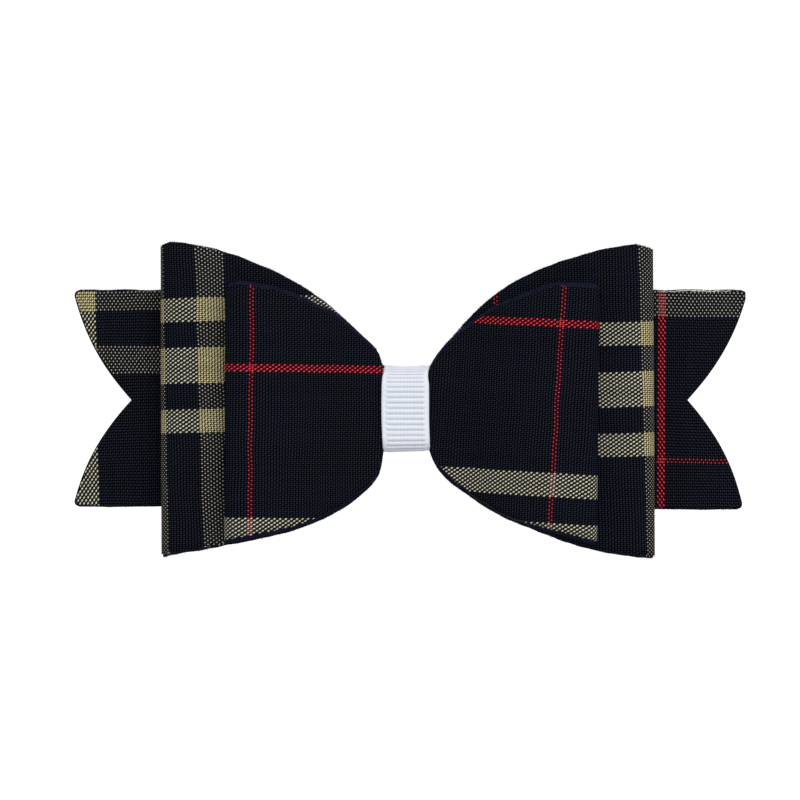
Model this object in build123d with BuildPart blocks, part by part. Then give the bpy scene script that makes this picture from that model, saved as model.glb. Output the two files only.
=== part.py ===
from build123d import *
import os

# Plaid hair bow: two tails, two large loops and two small loops, each a plaid cloth face glued to a
# navy felt backing, pinched at the waist by thread and a grosgrain wrap on a sprung alligator clip.
#
# Millimetres. The bow stands as it is worn: +X to its right, +Z up, and -Y out of its face.
# The origin is in the clip's jaw gap, behind the wrap, so y = 0 is the plane that grips the hair.

SIDES = {"left": -1, "right": 1}

# Sheets and cords
CLOTH = 0.35                 # plaid cotton face
FELT = 0.65                  # felt backing
LAYER_STEP = 1.05            # one glued laminate plus the air to the next
RIBBON = 0.35                # grosgrain
STEEL = 0.6                  # spring-clip sheet
GLUE = 0.5

# Stack at the waist, from the jaw plane towards the face (falling y)
PLATE_BACK_Y = -0.5                          # jaw side of the clip's base plate
PLATE_FRONT_Y = PLATE_BACK_Y - STEEL
TAIL_BACK_Y = PLATE_FRONT_Y - GLUE
LAMINATES = 5                                # tail, large back, large front, small back, small front
STACK_FRONT_Y = TAIL_BACK_Y - LAMINATES * LAYER_STEP
HALF_GAP = 0.15                              # each half of the bow stops this far from the middle

# Waist
WAIST_X = {"left": 5.3, "right": 4.4}        # the wrap's edges, where the loops start to flare
FLARE_X = 5.5                # front layers start to rise here
CLIP_CLEAR_X = 24.0          # back layers stay flat as far as the clip reaches
WAIST_Z = 7.6
SMALL_WAIST_Z = 6.0

# Large loops
LARGE_FOLD_X = 49.5
LARGE_FOLD_R = 5.2           # outer radius of the fold
LARGE_SET_BACK = 2.6         # how far the back panel leans back by the fold
LARGE_TOP = ((17.1, 21.7), (47.6, 33.1), (51.0, 31.2))
LARGE_BOTTOM = ((9.1, -17.3), (23.1, -24.5), (51.0, -30.0))

# Small loops
SMALL_FOLD_X = {"left": 36.4, "right": 38.0}
SMALL_FOLD_R = 3.2
SMALL_LIFT = 8.45            # back panel by the fold, forward of the clip's glue at the waist
SMALL_LEAD = 0.68            # share of the front panel, from the fold, that bends towards the waist
SMALL_TOP = ((14.0, 17.6), (34.4, 24.9), (40.0, 23.2))
SMALL_BOTTOM = ((9.1, -16.2), (23.1, -24.0), (40.0, -26.8))

# Tails
TAIL_TIP_X = {"left": 66.3, "right": 67.1}
TAIL_TOP_Z = 23.6
TAIL_BOTTOM_Z = -19.9
TAIL_NOTCH_DEPTH = 11.2
TAIL_NOTCH_Z = 1.5
TAIL_END_BULGE = (3.9, 11.3)   # a point on the rounded end: in from the tip, up from the notch
TAIL_SET_BACK = 2.8            # how far the tail leans back behind the large loop's fold

# Binding thread
THREAD_D = 0.45
THREAD_TURNS = 4
THREAD_PITCH = 1.0
THREAD_OFF = 0.24            # centreline off the layers it binds
THREAD_CORNER_R = 0.3

# Wrap: a 3/8 inch ribbon, a little left of the middle
WRAP_WIDTH = 9.5
WRAP_MIDDLE_X = -0.45
WRAP_HALF_Z = 8.3            # half-height inside
WRAP_CORNER_R = 2.2
WRAP_FRONT_Y = STACK_FRONT_Y - 0.6           # inside face, clear of the thread
WRAP_BACK_Y = PLATE_BACK_Y + 0.05            # inside face, against the clip's base plate
WRAP_SHOULDER_Y = PLATE_FRONT_Y + 0.1        # where it turns in towards the plate
WRAP_BACK_HALF_Z = 4.4
WRAP_LAP_Z = (-3.5, 3.2)

# Glue pads and lining
GLUE_PAD_X = (-12.8, 12.2)   # middles of the two pads
GLUE_PAD_LENGTH, GLUE_PAD_HEIGHT = 14.0, 5.6
LINING_X = (-22.4, -6.0)
LINING_HEIGHT = 5.6

# Alligator clip: base plate and ears
CLIP_TIP_X, CLIP_TAIL_X = -24.0, 22.0
PLATE_TIP_HALF_Z = 3.2
PLATE_EAR_HALF_Z = 4.0
PLATE_TAIL_HALF_Z = 4.4
PLATE_TIP_R, PLATE_TAIL_R = 1.6, 2.4
EAR_X = (9.0, 17.0)
EAR_INSIDE_Z = 3.4
EAR_SHOULDER_Y = 0.4         # above this the ear narrows to its eye
EAR_EYE_R = 1.7

# Pin
PIN_X, PIN_Y, PIN_R = 13.0, 2.6, 0.8
PIN_RUNNING_GAP = 0.05
PIN_HALF = EAR_INSIDE_Z + STEEL
PIN_HEAD_R, PIN_HEAD_T, PIN_HEAD_FILLET = 1.3, 0.5, 0.35
PIN_PEEN_R, PIN_PEEN_T, PIN_PEEN_FILLET = 1.1, 0.35, 0.2

# Lever
WEB_Y = 5.55                 # underside where it arches over the spring
LEVER_UNDERSIDE = ((23.6, 7.6), (15.4, WEB_Y), (10.6, WEB_Y), (7.0, 3.7), (-21.9, 0.8), (-23.6, 0.0))
LEVER_BEND_R = 0.7
LEVER_TIP_HALF_Z = 2.7
LEVER_HALF_Z = 3.25          # between the ears
LEVER_TAPER_X = 6.0          # towards the tip from here
TAB_X = (17.8, 18.6, 24.6)   # widens between the first two; the last is just past its end
TAB_HALF_Z = 4.6
LEVER_TIP_R, TAB_R = 1.6, 3.0
FLANGE_R = 2.4               # eye of the flange that turns on the pin
FLANGE_TOP_Y = WEB_Y + 0.2   # runs into the web
TOOTH_COUNT = 5
TOOTH_PITCH = 1.1
TOOTH_X = -23.7
TOOTH_LENGTH = 0.5
TOOTH_HALF_WIDTH = 0.5
TOOTH_ROOT_Y, TOOTH_POINT_Y = 0.3, -0.35

# Spring
COIL_R = 1.9
COIL_WIRE_R = 0.3
COIL_PITCH = 0.7
TAB_LEG_ANGLE = 14           # direction of the leg under the thumb tab, in degrees
PLATE_LEG_ANGLE = -7         # direction of the leg that rests on the base plate
COIL_TURNS = 3 + (180 + PLATE_LEG_ANGLE - TAB_LEG_ANGLE) / 360
COIL_LEG = 7.0

OUT = 80.0                   # beyond every part, for the prisms that cut outlines


def s_curve(start, end, lead):
    """Two tangent arcs from start to end, both ends along X; lead is where they meet (0 to 1)."""
    join = (start[0] + lead * (end[0] - start[0]), start[1] + lead * (end[1] - start[1]))
    first = TangentArc(start, join, tangent=(end[0] - start[0], 0))
    TangentArc(join, end, tangent=first % 1)


def loop_seam(sign, back_y, front_y, fold_x, fold_back_y, fold_front_y, back_flat_x, lead):
    """Glue line between cloth and felt of one loop, seen from above: back, round the fold, front."""
    fold_r = (fold_back_y - fold_front_y) / 2
    fold_start = fold_x - fold_r
    with BuildLine() as seam:
        Line((sign * HALF_GAP, back_y), (sign * back_flat_x, back_y))
        s_curve((sign * back_flat_x, back_y), (sign * fold_start, fold_back_y), 0.5)
        ThreePointArc(
            (sign * fold_start, fold_back_y),
            (sign * fold_x, fold_back_y - fold_r),
            (sign * fold_start, fold_front_y),
        )
        s_curve((sign * fold_start, fold_front_y), (sign * FLARE_X, front_y), lead)
        Line((sign * FLARE_X, front_y), (sign * HALF_GAP, front_y))
    return seam.wire()


def large_seam(side):
    back_y = TAIL_BACK_Y - LAYER_STEP - CLOTH
    front_y = TAIL_BACK_Y - 3 * LAYER_STEP + CLOTH
    fold_back_y = back_y + LARGE_SET_BACK
    seam_r = LARGE_FOLD_R - CLOTH
    return loop_seam(
        SIDES[side], back_y, front_y, LARGE_FOLD_X - CLOTH,
        fold_back_y, fold_back_y - 2 * seam_r, CLIP_CLEAR_X, 0.5,
    )


def small_seam(side):
    back_y = TAIL_BACK_Y - 3 * LAYER_STEP - CLOTH
    front_y = STACK_FRONT_Y + CLOTH
    fold_back_y = TAIL_BACK_Y - SMALL_LIFT - CLOTH
    seam_r = SMALL_FOLD_R - CLOTH
    return loop_seam(
        SIDES[side], back_y, front_y, SMALL_FOLD_X[side] - CLOTH,
        fold_back_y, fold_back_y - 2 * seam_r, FLARE_X, SMALL_LEAD,
    )


def tail_seam(side):
    """Glue line of a tail: flat behind the wrap, leaning back behind the large loop, then level."""
    sign = SIDES[side]
    seam_y = TAIL_BACK_Y - FELT
    lean_x = LARGE_FOLD_X - LARGE_FOLD_R
    with BuildLine() as seam:
        Line((sign * HALF_GAP, seam_y), (sign * CLIP_CLEAR_X, seam_y))
        s_curve((sign * CLIP_CLEAR_X, seam_y), (sign * lean_x, seam_y + TAIL_SET_BACK), 0.5)
        Line((sign * lean_x, seam_y + TAIL_SET_BACK), (sign * OUT, seam_y + TAIL_SET_BACK))
    return seam.wire()


def loop_outline(side, waist_z, top, bottom):
    """Hourglass half of a loop seen from the front, from the middle to beyond the fold."""
    sign = SIDES[side]
    waist_x = sign * WAIST_X[side]
    top_mid, top_end, top_corner = [(sign * x, z) for x, z in top]
    bottom_mid, bottom_end, bottom_corner = [(sign * x, z) for x, z in bottom]
    with BuildSketch(Plane.XZ) as outline:
        with BuildLine():
            Line((0, -waist_z), (0, waist_z))
            Line((0, waist_z), (waist_x, waist_z))
            ThreePointArc((waist_x, waist_z), top_mid, top_end)
            Line(top_end, top_corner)
            Line(top_corner, bottom_corner)
            Line(bottom_corner, bottom_end)
            ThreePointArc(bottom_end, bottom_mid, (waist_x, -waist_z))
            Line((waist_x, -waist_z), (0, -waist_z))
        make_face()
    return outline.sketch


def tail_outline(side):
    """A tail seen from the front, with a swallow-tail notch whose two ends are rounded."""
    sign = SIDES[side]
    tip_x = TAIL_TIP_X[side]
    notch = (sign * (tip_x - TAIL_NOTCH_DEPTH), TAIL_NOTCH_Z)
    top_tip = (sign * tip_x, TAIL_TOP_Z)
    bottom_tip = (sign * tip_x, TAIL_BOTTOM_Z)
    bulge_x = sign * (tip_x - TAIL_END_BULGE[0])
    with BuildSketch(Plane.XZ) as outline:
        with BuildLine():
            Polyline(
                bottom_tip,
                (sign * CLIP_CLEAR_X, TAIL_BOTTOM_Z),
                (sign * WAIST_X[side], -WAIST_Z),
                (0, -WAIST_Z),
                (0, WAIST_Z),
                (sign * WAIST_X[side], WAIST_Z),
                (sign * CLIP_CLEAR_X, TAIL_TOP_Z),
                top_tip,
            )
            ThreePointArc(top_tip, (bulge_x, TAIL_NOTCH_Z + TAIL_END_BULGE[1]), notch)
            ThreePointArc(notch, (bulge_x, TAIL_NOTCH_Z - TAIL_END_BULGE[1]), bottom_tip)
        make_face()
    return outline.sketch


def cloth_layer(seam, outline, thickness, outward):
    """One layer of a laminate: the seam thickened to one side and cut to the outline."""
    with BuildPart() as layer:
        with BuildSketch(Plane.XY):
            with BuildLine():
                add(seam)
                offset(amount=thickness, side=outward)
            make_face()
        extrude(amount=OUT, both=True)
        extrude(outline, amount=OUT, both=True, mode=Mode.INTERSECT)
    return layer.part


def finish(part, name):
    """Label a finished piece and write it."""
    part.label = name
    export_step(part, f"parts/{name}.step")


os.makedirs("parts", exist_ok=True)

# Textile pieces: a cloth face and its felt backing for each loop and tail
for side, sign in SIDES.items():
    outward = Side.LEFT if sign > 0 else Side.RIGHT
    inward = Side.RIGHT if sign > 0 else Side.LEFT
    large_outline = loop_outline(side, WAIST_Z, LARGE_TOP, LARGE_BOTTOM)
    small_outline = loop_outline(side, SMALL_WAIST_Z, SMALL_TOP, SMALL_BOTTOM)
    finish(cloth_layer(large_seam(side), large_outline, CLOTH, outward), f"{side}_large_loop_cloth")
    finish(cloth_layer(large_seam(side), large_outline, FELT, inward), f"{side}_large_loop_backing")
    finish(cloth_layer(small_seam(side), small_outline, CLOTH, outward), f"{side}_small_loop_cloth")
    finish(cloth_layer(small_seam(side), small_outline, FELT, inward), f"{side}_small_loop_backing")
    finish(cloth_layer(tail_seam(side), tail_outline(side), CLOTH, inward), f"{side}_tail_cloth")
    finish(cloth_layer(tail_seam(side), tail_outline(side), FELT, outward), f"{side}_tail_backing")

# Binding thread: turns of doubled thread round the pinched stack, under the wrap
thread_back_y = TAIL_BACK_Y + THREAD_OFF
thread_step_y = TAIL_BACK_Y - 3 * LAYER_STEP     # the small loops are narrower from here on
thread_front_y = STACK_FRONT_Y - THREAD_OFF
with BuildPart() as binding_thread:
    for turn in range(THREAD_TURNS):
        turn_x = (turn - (THREAD_TURNS - 1) / 2) * THREAD_PITCH
        with BuildLine(Plane.YZ.offset(turn_x)) as turn_path:
            FilletPolyline(
                (thread_back_y, WAIST_Z + THREAD_OFF),
                (thread_step_y, WAIST_Z + THREAD_OFF),
                (thread_front_y, SMALL_WAIST_Z + THREAD_OFF),
                (thread_front_y, -SMALL_WAIST_Z - THREAD_OFF),
                (thread_step_y, -WAIST_Z - THREAD_OFF),
                (thread_back_y, -WAIST_Z - THREAD_OFF),
                close=True,
                radius=THREAD_CORNER_R,
            )
        with BuildSketch(Plane(origin=turn_path.wire() @ 0, z_dir=turn_path.wire() % 0)):
            Circle(THREAD_D / 2)
        sweep(path=turn_path.wire())
finish(binding_thread.part, "binding_thread")

# Centre wrap: ribbon round the stack and the clip's base plate, its end lapped on the back
with BuildSketch(Plane.YZ) as wrap_hollow:
    with BuildLine():
        Polyline(
            (WRAP_FRONT_Y, -WRAP_HALF_Z),
            (WRAP_FRONT_Y, WRAP_HALF_Z),
            (WRAP_SHOULDER_Y, WRAP_HALF_Z),
            (WRAP_BACK_Y, WRAP_BACK_HALF_Z),
            (WRAP_BACK_Y, -WRAP_BACK_HALF_Z),
            (WRAP_SHOULDER_Y, -WRAP_HALF_Z),
            close=True,
        )
    make_face()
    fillet(wrap_hollow.vertices().group_by(Axis.X)[0], radius=WRAP_CORNER_R)
lap_bottom, lap_top = WRAP_LAP_Z
with BuildPart() as centre_wrap:
    with BuildSketch(Plane.YZ.offset(WRAP_MIDDLE_X - WRAP_WIDTH / 2)):
        offset(wrap_hollow.sketch_local, amount=RIBBON)
        add(wrap_hollow.sketch_local, mode=Mode.SUBTRACT)
        with Locations((WRAP_BACK_Y + 1.5 * RIBBON, (lap_top + lap_bottom) / 2)):
            Rectangle(RIBBON, lap_top - lap_bottom)
    extrude(amount=WRAP_WIDTH)
finish(centre_wrap.part, "centre_wrap")

# Glue: two pads between the tails and the clip's base plate, either side of the wrap
with BuildPart() as glue_pads:
    with BuildSketch(Plane.XZ.offset(-TAIL_BACK_Y)):
        with Locations(*[(pad_x, 0) for pad_x in GLUE_PAD_X]):
            SlotOverall(GLUE_PAD_LENGTH, GLUE_PAD_HEIGHT)
    extrude(amount=-GLUE)
finish(glue_pads.part, "glue_pads")

# Clip base: the fixed jaw, a tapered plate with two ears folded up for the pin
with BuildPart() as clip_base:
    with BuildSketch(Plane.XZ.offset(-PLATE_BACK_Y)) as plate:
        with BuildLine():
            Polyline(
                (CLIP_TIP_X, -PLATE_TIP_HALF_Z),
                (EAR_X[0], -PLATE_EAR_HALF_Z),
                (CLIP_TAIL_X, -PLATE_TAIL_HALF_Z),
                (CLIP_TAIL_X, PLATE_TAIL_HALF_Z),
                (EAR_X[0], PLATE_EAR_HALF_Z),
                (CLIP_TIP_X, PLATE_TIP_HALF_Z),
                close=True,
            )
        make_face()
        fillet(plate.vertices().group_by(Axis.X)[0], radius=PLATE_TIP_R)
        fillet(plate.vertices().group_by(Axis.X)[-1], radius=PLATE_TAIL_R)
    extrude(amount=STEEL)
    for ear_z in (EAR_INSIDE_Z, -EAR_INSIDE_Z - STEEL):
        with BuildSketch(Plane.XY.offset(ear_z)):
            with BuildLine():
                Polyline(
                    (EAR_X[0], PLATE_FRONT_Y),
                    (EAR_X[1], PLATE_FRONT_Y),
                    (EAR_X[1], EAR_SHOULDER_Y),
                    (PIN_X + EAR_EYE_R, PIN_Y),
                    (PIN_X - EAR_EYE_R, PIN_Y),
                    (EAR_X[0], EAR_SHOULDER_Y),
                    close=True,
                )
            make_face()
            with Locations((PIN_X, PIN_Y)):
                Circle(EAR_EYE_R)
                Circle(PIN_R, mode=Mode.SUBTRACT)
        extrude(amount=STEEL)
finish(clip_base.part, "clip_base")

# Clip pin: a rivet through both ears, with a round head at one end and a peened one at the other
with BuildPart() as clip_pin:
    with BuildSketch(Plane.XY.offset(-PIN_HALF)):
        with Locations((PIN_X, PIN_Y)):
            Circle(PIN_R)
    extrude(amount=2 * PIN_HALF)
    for head_z, head_r, head_t in (
        (PIN_HALF, PIN_HEAD_R, PIN_HEAD_T),
        (-PIN_HALF, PIN_PEEN_R, -PIN_PEEN_T),
    ):
        with BuildSketch(Plane.XY.offset(head_z)):
            with Locations((PIN_X, PIN_Y)):
                Circle(head_r)
        extrude(amount=head_t)
    fillet(clip_pin.faces().sort_by(Axis.Z)[-1].edges(), radius=PIN_HEAD_FILLET)
    fillet(clip_pin.faces().sort_by(Axis.Z)[0].edges(), radius=PIN_PEEN_FILLET)
finish(clip_pin.part, "clip_pin")

# Clip lever: the moving jaw, one bent strip with flanges round the pin and teeth at its tip
with BuildPart() as clip_lever:
    with BuildSketch(Plane.XY):
        with BuildLine():
            FilletPolyline(*LEVER_UNDERSIDE, radius=LEVER_BEND_R)
            offset(amount=STEEL, side=Side.RIGHT)
        make_face()
    extrude(amount=OUT, both=True)
    tab_root_x, tab_wide_x, tab_end_x = TAB_X
    with BuildSketch(Plane.XZ) as lever_plan:
        with BuildLine():
            Polyline(
                (CLIP_TIP_X - 1, -LEVER_TIP_HALF_Z),
                (LEVER_TAPER_X, -LEVER_HALF_Z),
                (tab_root_x, -LEVER_HALF_Z),
                (tab_wide_x, -TAB_HALF_Z),
                (tab_end_x, -TAB_HALF_Z),
                (tab_end_x, TAB_HALF_Z),
                (tab_wide_x, TAB_HALF_Z),
                (tab_root_x, LEVER_HALF_Z),
                (LEVER_TAPER_X, LEVER_HALF_Z),
                (CLIP_TIP_X - 1, LEVER_TIP_HALF_Z),
                close=True,
            )
        make_face()
        fillet(lever_plan.vertices().group_by(Axis.X)[0], radius=LEVER_TIP_R)
        fillet(lever_plan.vertices().group_by(Axis.X)[-1], radius=TAB_R)
    extrude(amount=OUT, both=True, mode=Mode.INTERSECT)
    for flange_z in (LEVER_HALF_Z - STEEL, -LEVER_HALF_Z):
        with BuildSketch(Plane.XY.offset(flange_z)):
            with Locations((PIN_X, PIN_Y)):
                Circle(FLANGE_R)
            with Locations((PIN_X, (PIN_Y + FLANGE_TOP_Y) / 2)):
                Rectangle(2 * FLANGE_R, FLANGE_TOP_Y - PIN_Y)
            with Locations((PIN_X, PIN_Y)):
                Circle(PIN_R + PIN_RUNNING_GAP, mode=Mode.SUBTRACT)
        extrude(amount=STEEL)
    for tooth in range(TOOTH_COUNT):
        tooth_z = (tooth - (TOOTH_COUNT - 1) / 2) * TOOTH_PITCH
        with BuildSketch(Plane.YZ.offset(TOOTH_X)):
            with BuildLine():
                Polyline(
                    (TOOTH_ROOT_Y, tooth_z - TOOTH_HALF_WIDTH),
                    (0, tooth_z - TOOTH_HALF_WIDTH),
                    (TOOTH_POINT_Y, tooth_z),
                    (0, tooth_z + TOOTH_HALF_WIDTH),
                    (TOOTH_ROOT_Y, tooth_z + TOOTH_HALF_WIDTH),
                    close=True,
                )
            make_face()
        extrude(amount=TOOTH_LENGTH)
finish(clip_lever.part, "clip_lever")

# Clip spring: a torsion coil on the pin, one leg under the thumb tab and one on the base plate
coil_height = COIL_TURNS * COIL_PITCH
with BuildLine() as coil_line:
    coil = Helix(pitch=COIL_PITCH, height=coil_height, radius=COIL_R)
    Line(coil @ 0 - (coil % 0) * COIL_LEG, coil @ 0)
    Line(coil @ 1, coil @ 1 + (coil % 1) * COIL_LEG)
coil_place = Pos(PIN_X, PIN_Y, -coil_height / 2) * Rot(Z=90 + TAB_LEG_ANGLE)
coil_path = coil_place * coil_line.wire()
with BuildPart() as clip_spring:
    with BuildSketch(Plane(origin=coil_path @ 0, z_dir=coil_path % 0)):
        Circle(COIL_WIRE_R)
    sweep(path=coil_path)
finish(clip_spring.part, "clip_spring")

# Clip lining: grosgrain glued along the plate's gripping side, from its tip to the wrap
lining_start, lining_end = LINING_X
with BuildPart() as clip_lining:
    with BuildSketch(Plane.XZ.offset(-PLATE_BACK_Y)):
        with Locations(((lining_start + lining_end) / 2, 0)):
            Rectangle(lining_end - lining_start, LINING_HEIGHT)
    extrude(amount=-RIBBON)
finish(clip_lining.part, "clip_lining")
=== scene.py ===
"""Looks of the plaid hair bow: woven cloth on felt, a grosgrain wrap and a nickel-plated alligator clip.

Lengths inside the mesh code are millimetres in the CAD frame; make_mesh() turns them into metres.
Every textile piece is a thin solid swept along its glue line, the seam between cloth and felt.
A seam is a curve seen from above: s runs along it, z is up, and h is the offset out of the seam.
"""
import math
import random
from collections import namedtuple

import bpy
import numpy as np
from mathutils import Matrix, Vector, noise


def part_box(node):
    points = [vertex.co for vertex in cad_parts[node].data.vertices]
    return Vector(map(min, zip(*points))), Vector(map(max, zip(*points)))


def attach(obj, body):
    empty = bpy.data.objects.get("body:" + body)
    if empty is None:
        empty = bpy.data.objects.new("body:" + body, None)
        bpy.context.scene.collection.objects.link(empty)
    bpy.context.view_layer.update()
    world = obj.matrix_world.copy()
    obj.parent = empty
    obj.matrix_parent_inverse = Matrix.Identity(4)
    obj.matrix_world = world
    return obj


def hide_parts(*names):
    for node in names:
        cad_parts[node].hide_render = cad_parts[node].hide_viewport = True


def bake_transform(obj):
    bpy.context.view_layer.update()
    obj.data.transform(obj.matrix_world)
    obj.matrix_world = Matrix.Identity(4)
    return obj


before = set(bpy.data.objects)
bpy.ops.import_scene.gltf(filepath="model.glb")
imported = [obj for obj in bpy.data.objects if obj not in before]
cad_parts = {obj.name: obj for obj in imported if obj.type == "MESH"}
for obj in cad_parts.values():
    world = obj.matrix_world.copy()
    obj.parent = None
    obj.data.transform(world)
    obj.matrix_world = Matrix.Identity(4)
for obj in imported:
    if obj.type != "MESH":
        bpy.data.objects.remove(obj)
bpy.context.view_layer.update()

random.seed(7)

MM = 0.001
SIDES = {"left": -1, "right": 1}

# Sheets
CLOTH = 0.32                 # thickness of the plaid cotton
FELT = 0.65
GLUE_LINE = 0.01             # air between the cloth and the felt
LAYER_STEP = 1.05            # one glued laminate plus the air to the next
HALF_GAP = 0.15              # each half of the bow stops this far from the middle
FELT_BULGE = 0.12            # felt's cut edge is soft and rounded
CLOTH_BULGE = 0.05
# How far the cloth's cut edge stands inside the felt's, along the top and the bottom
CLOTH_INSET = {"large": (0.25, 0.60), "small": (0.85, 0.75)}
# A strand's rings: share of its length, share of its radius
STRAND_RINGS = ((0.15, 1.0), (0.7, 0.7))
STRAND_ROOT = 0.15           # how deep a strand is set in the edge

# Loops
CLIP_CLEAR_X = 24.0          # back layers stay flat as far as the clip reaches
FLARE_X = 5.5                # front layers start to rise here
FOLD_INSET = 0.15            # folds stop this far inside the CAD's
SMALL_FOLD_R = 3.2
BELLY = 0.7                  # how far a panel swells forwards
BELLY_LENGTH = 26.0          # length of the swelling, out from the flare
BELLY_HALF_Z = 34.0          # height at which it would be gone
# Layers behind the loop, share of its front panel that bends first, where its back panel stops being flat
LOOPS = {"large": (1, 0.5, CLIP_CLEAR_X), "small": (3, 0.68, FLARE_X)}

# Tails
TAIL_NOTCH_DEPTH, TAIL_NOTCH_Z = 11.2, 1.5
TAIL_END_BULGE = 2.2         # how far the rounded ends stand out from their chords
TAIL_POINT = 0.6             # how far their points are drawn out
TAIL_CORNER_R = 1.3
TAIL_CORNER = 0.065          # share of the end's height that the rounded tip takes
TAIL_CLOTH_INSET = 0.40
TAIL_SPREAD = 1.009          # the tails lie a little further back than they were measured
TAIL_WAIST_X, TAIL_WAIST_Z = 4.4, 7.4
TAIL_LEVEL_X = 44.3          # from here out a tail stands level again
TAIL_LEAN = {"left": 0.0, "right": 0.45}     # the upper point of a tail reaches this much further out
TAIL_DROP = {"left": 0.0, "right": 0.55}     # and its lower edge hangs this much lower

# Weave, in millimetres of cloth
COARSE_PITCH = 0.58          # yarns that run up the loops
FINE_PITCH = 0.395           # yarns that run across the loops
# A group of tan bars is centred on 0 in each direction, and a red line lies at half a period
COARSE_PERIOD, FINE_PERIOD = 92.0, 86.4
# Tan bars of a group: half-width of the wide middle one, inner and outer edge of the narrow ones
COARSE_BARS = (4.06, 11.02, 16.82)
FINE_BARS = (3.56, 8.69, 13.43)
COARSE_RED, FINE_RED = 2, 4  # yarns in a red line

# Grosgrain
RIB_PITCH = 1.08
RIB_RISE = 0.22
RIBBON = 0.30
RIBBON_EDGE = 0.25           # the ribbon thins out over this width at its edges
RIBBON_GRID = 0.09           # mesh spacing along the ribbon, fine enough for its ribs
WARP_PITCH = 0.23            # fine lines that run along the ribbon
SELVEDGE_AT = 3.85           # from the ribbon's middle to where its plain edge starts

# Lights: place and diameter in metres, and watts
LIGHTS = {
    "key": ((0.15, -0.70, 0.50), 0.7, 4.4),
    "right_fill": ((0.8, -0.4, 0.0), 0.6, 1.8),
    "left_fill": ((-0.8, -0.4, 0.1), 0.6, 1.0),
    "back_light": ((-0.2, 0.8, 0.5), 0.5, 3.5),
}
FLOOR_Z = -0.085
FRAME_WIDTH = 0.160          # width of the picture in the bow's plane
CAMERA_AIM = (-1.5 * MM, -6.0 * MM, 1.5 * MM)


def cad(node):
    """Low and high corner of a CAD node in millimetres."""
    low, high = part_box(node)
    return np.array(low) / MM, np.array(high) / MM


STACK_BACK_Y = cad("glue_pads")[0][1]
WRAP_LOW, WRAP_HIGH = cad("centre_wrap")
WRAP_BACK_Y = cad("clip_lining")[0][1] + 0.05


# ---------------------------------------------------------------- meshes

def make_mesh(name, points, faces, uvs=None, smooth=True):
    """A mesh object from points in millimetres, with one UV per point."""
    mesh = bpy.data.meshes.new(name)
    mesh.from_pydata([tuple(p) for p in np.asarray(points) * MM], [], faces)
    if uvs is not None:
        layer = mesh.uv_layers.new(name="cloth_mm")
        corner_points = np.empty(len(mesh.loops), dtype=np.int32)
        mesh.loops.foreach_get("vertex_index", corner_points)
        layer.data.foreach_set("uv", np.asarray(uvs, dtype=np.float32)[corner_points].ravel())
    mesh.polygons.foreach_set("use_smooth", [smooth] * len(mesh.polygons))
    mesh.update()
    obj = bpy.data.objects.new(name, mesh)
    bpy.context.collection.objects.link(obj)
    return obj


def grid_faces(rows, cols, start=0, flip=False, wrap=False):
    """Quads of a rows x cols grid of points; wrap joins the last row to the first."""
    faces = []
    for i in range(rows if wrap else rows - 1):
        here, ahead = start + i * cols, start + (i + 1) % rows * cols
        for j in range(cols - 1):
            quad = (here + j, ahead + j, ahead + j + 1, here + j + 1)
            faces.append(quad[::-1] if flip else quad)
    return faces


def border(rows, cols):
    """Indices round the edge of a rows x cols grid, in order."""
    bottom = [i * cols for i in range(rows)]
    far = [(rows - 1) * cols + j for j in range(1, cols)]
    top = [i * cols + cols - 1 for i in range(rows - 2, -1, -1)]
    near = list(range(cols - 2, 0, -1))
    return bottom + far + top + near


def thin_solid(name, outer, inner, uv, bulge):
    """A closed sheet between two grids of points, its cut edge rounded outwards by bulge."""
    rows, cols = outer.shape[:2]
    count = rows * cols
    corner = outer[0, 0]
    flip = np.cross(outer[1, 0] - corner, outer[0, 1] - corner) @ (corner - inner[0, 0]) < 0
    faces = grid_faces(rows, cols, 0, flip) + grid_faces(rows, cols, count, not flip)
    ring = border(rows, cols)
    out_flat, in_flat, uv_flat = (grid.reshape(count, -1) for grid in (outer, inner, uv))
    middle = (out_flat + in_flat) / 2
    rim = []
    for index in ring:
        i, j = divmod(index, cols)
        inside = min(max(i, 1), rows - 2) * cols + min(max(j, 1), cols - 2)
        away = middle[index] - middle[inside]
        rim.append(middle[index] + bulge * away / max(np.linalg.norm(away), 1e-6))
    points = np.vstack([out_flat, in_flat, rim])
    uvs = np.vstack([uv_flat, uv_flat, uv_flat[ring]])
    for k, index in enumerate(ring):
        following = (k + 1) % len(ring)
        a, b = index, ring[following]
        m, n = 2 * count + k, 2 * count + following
        first, second = (a, m, n, b), (m, count + a, count + b, n)
        faces += [first[::-1], second[::-1]] if flip else [first, second]
    return make_mesh(name, points, faces, uvs)


def strands(name, roots, tips, radii, uvs):
    """Many closed three-sided fibres, each from a root through a belly to a tip."""
    points, faces, out_uvs = [], [], []
    for root, tip, radius, uv in zip(roots, tips, radii, uvs):
        base = len(points)
        axis = tip - root
        side = np.cross(axis, (0.31, 0.52, 0.79))
        side /= max(np.linalg.norm(side), 1e-9)
        up = np.cross(axis, side)
        up /= max(np.linalg.norm(up), 1e-9)
        points.append(root)
        for share, width in STRAND_RINGS:
            for turn in range(3):
                angle = 2 * math.pi * turn / 3
                offset = math.cos(angle) * side + math.sin(angle) * up
                points.append(root + axis * share + radius * width * offset)
        points.append(tip)
        for turn in range(3):
            after = (turn + 1) % 3
            faces.append((base, base + 1 + after, base + 1 + turn))
            faces.append((base + 1 + turn, base + 1 + after, base + 4 + after, base + 4 + turn))
            faces.append((base + 4 + turn, base + 4 + after, base + 7))
        out_uvs += [uv] * 8
    return make_mesh(name, np.array(points), faces, np.array(out_uvs))


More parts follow.
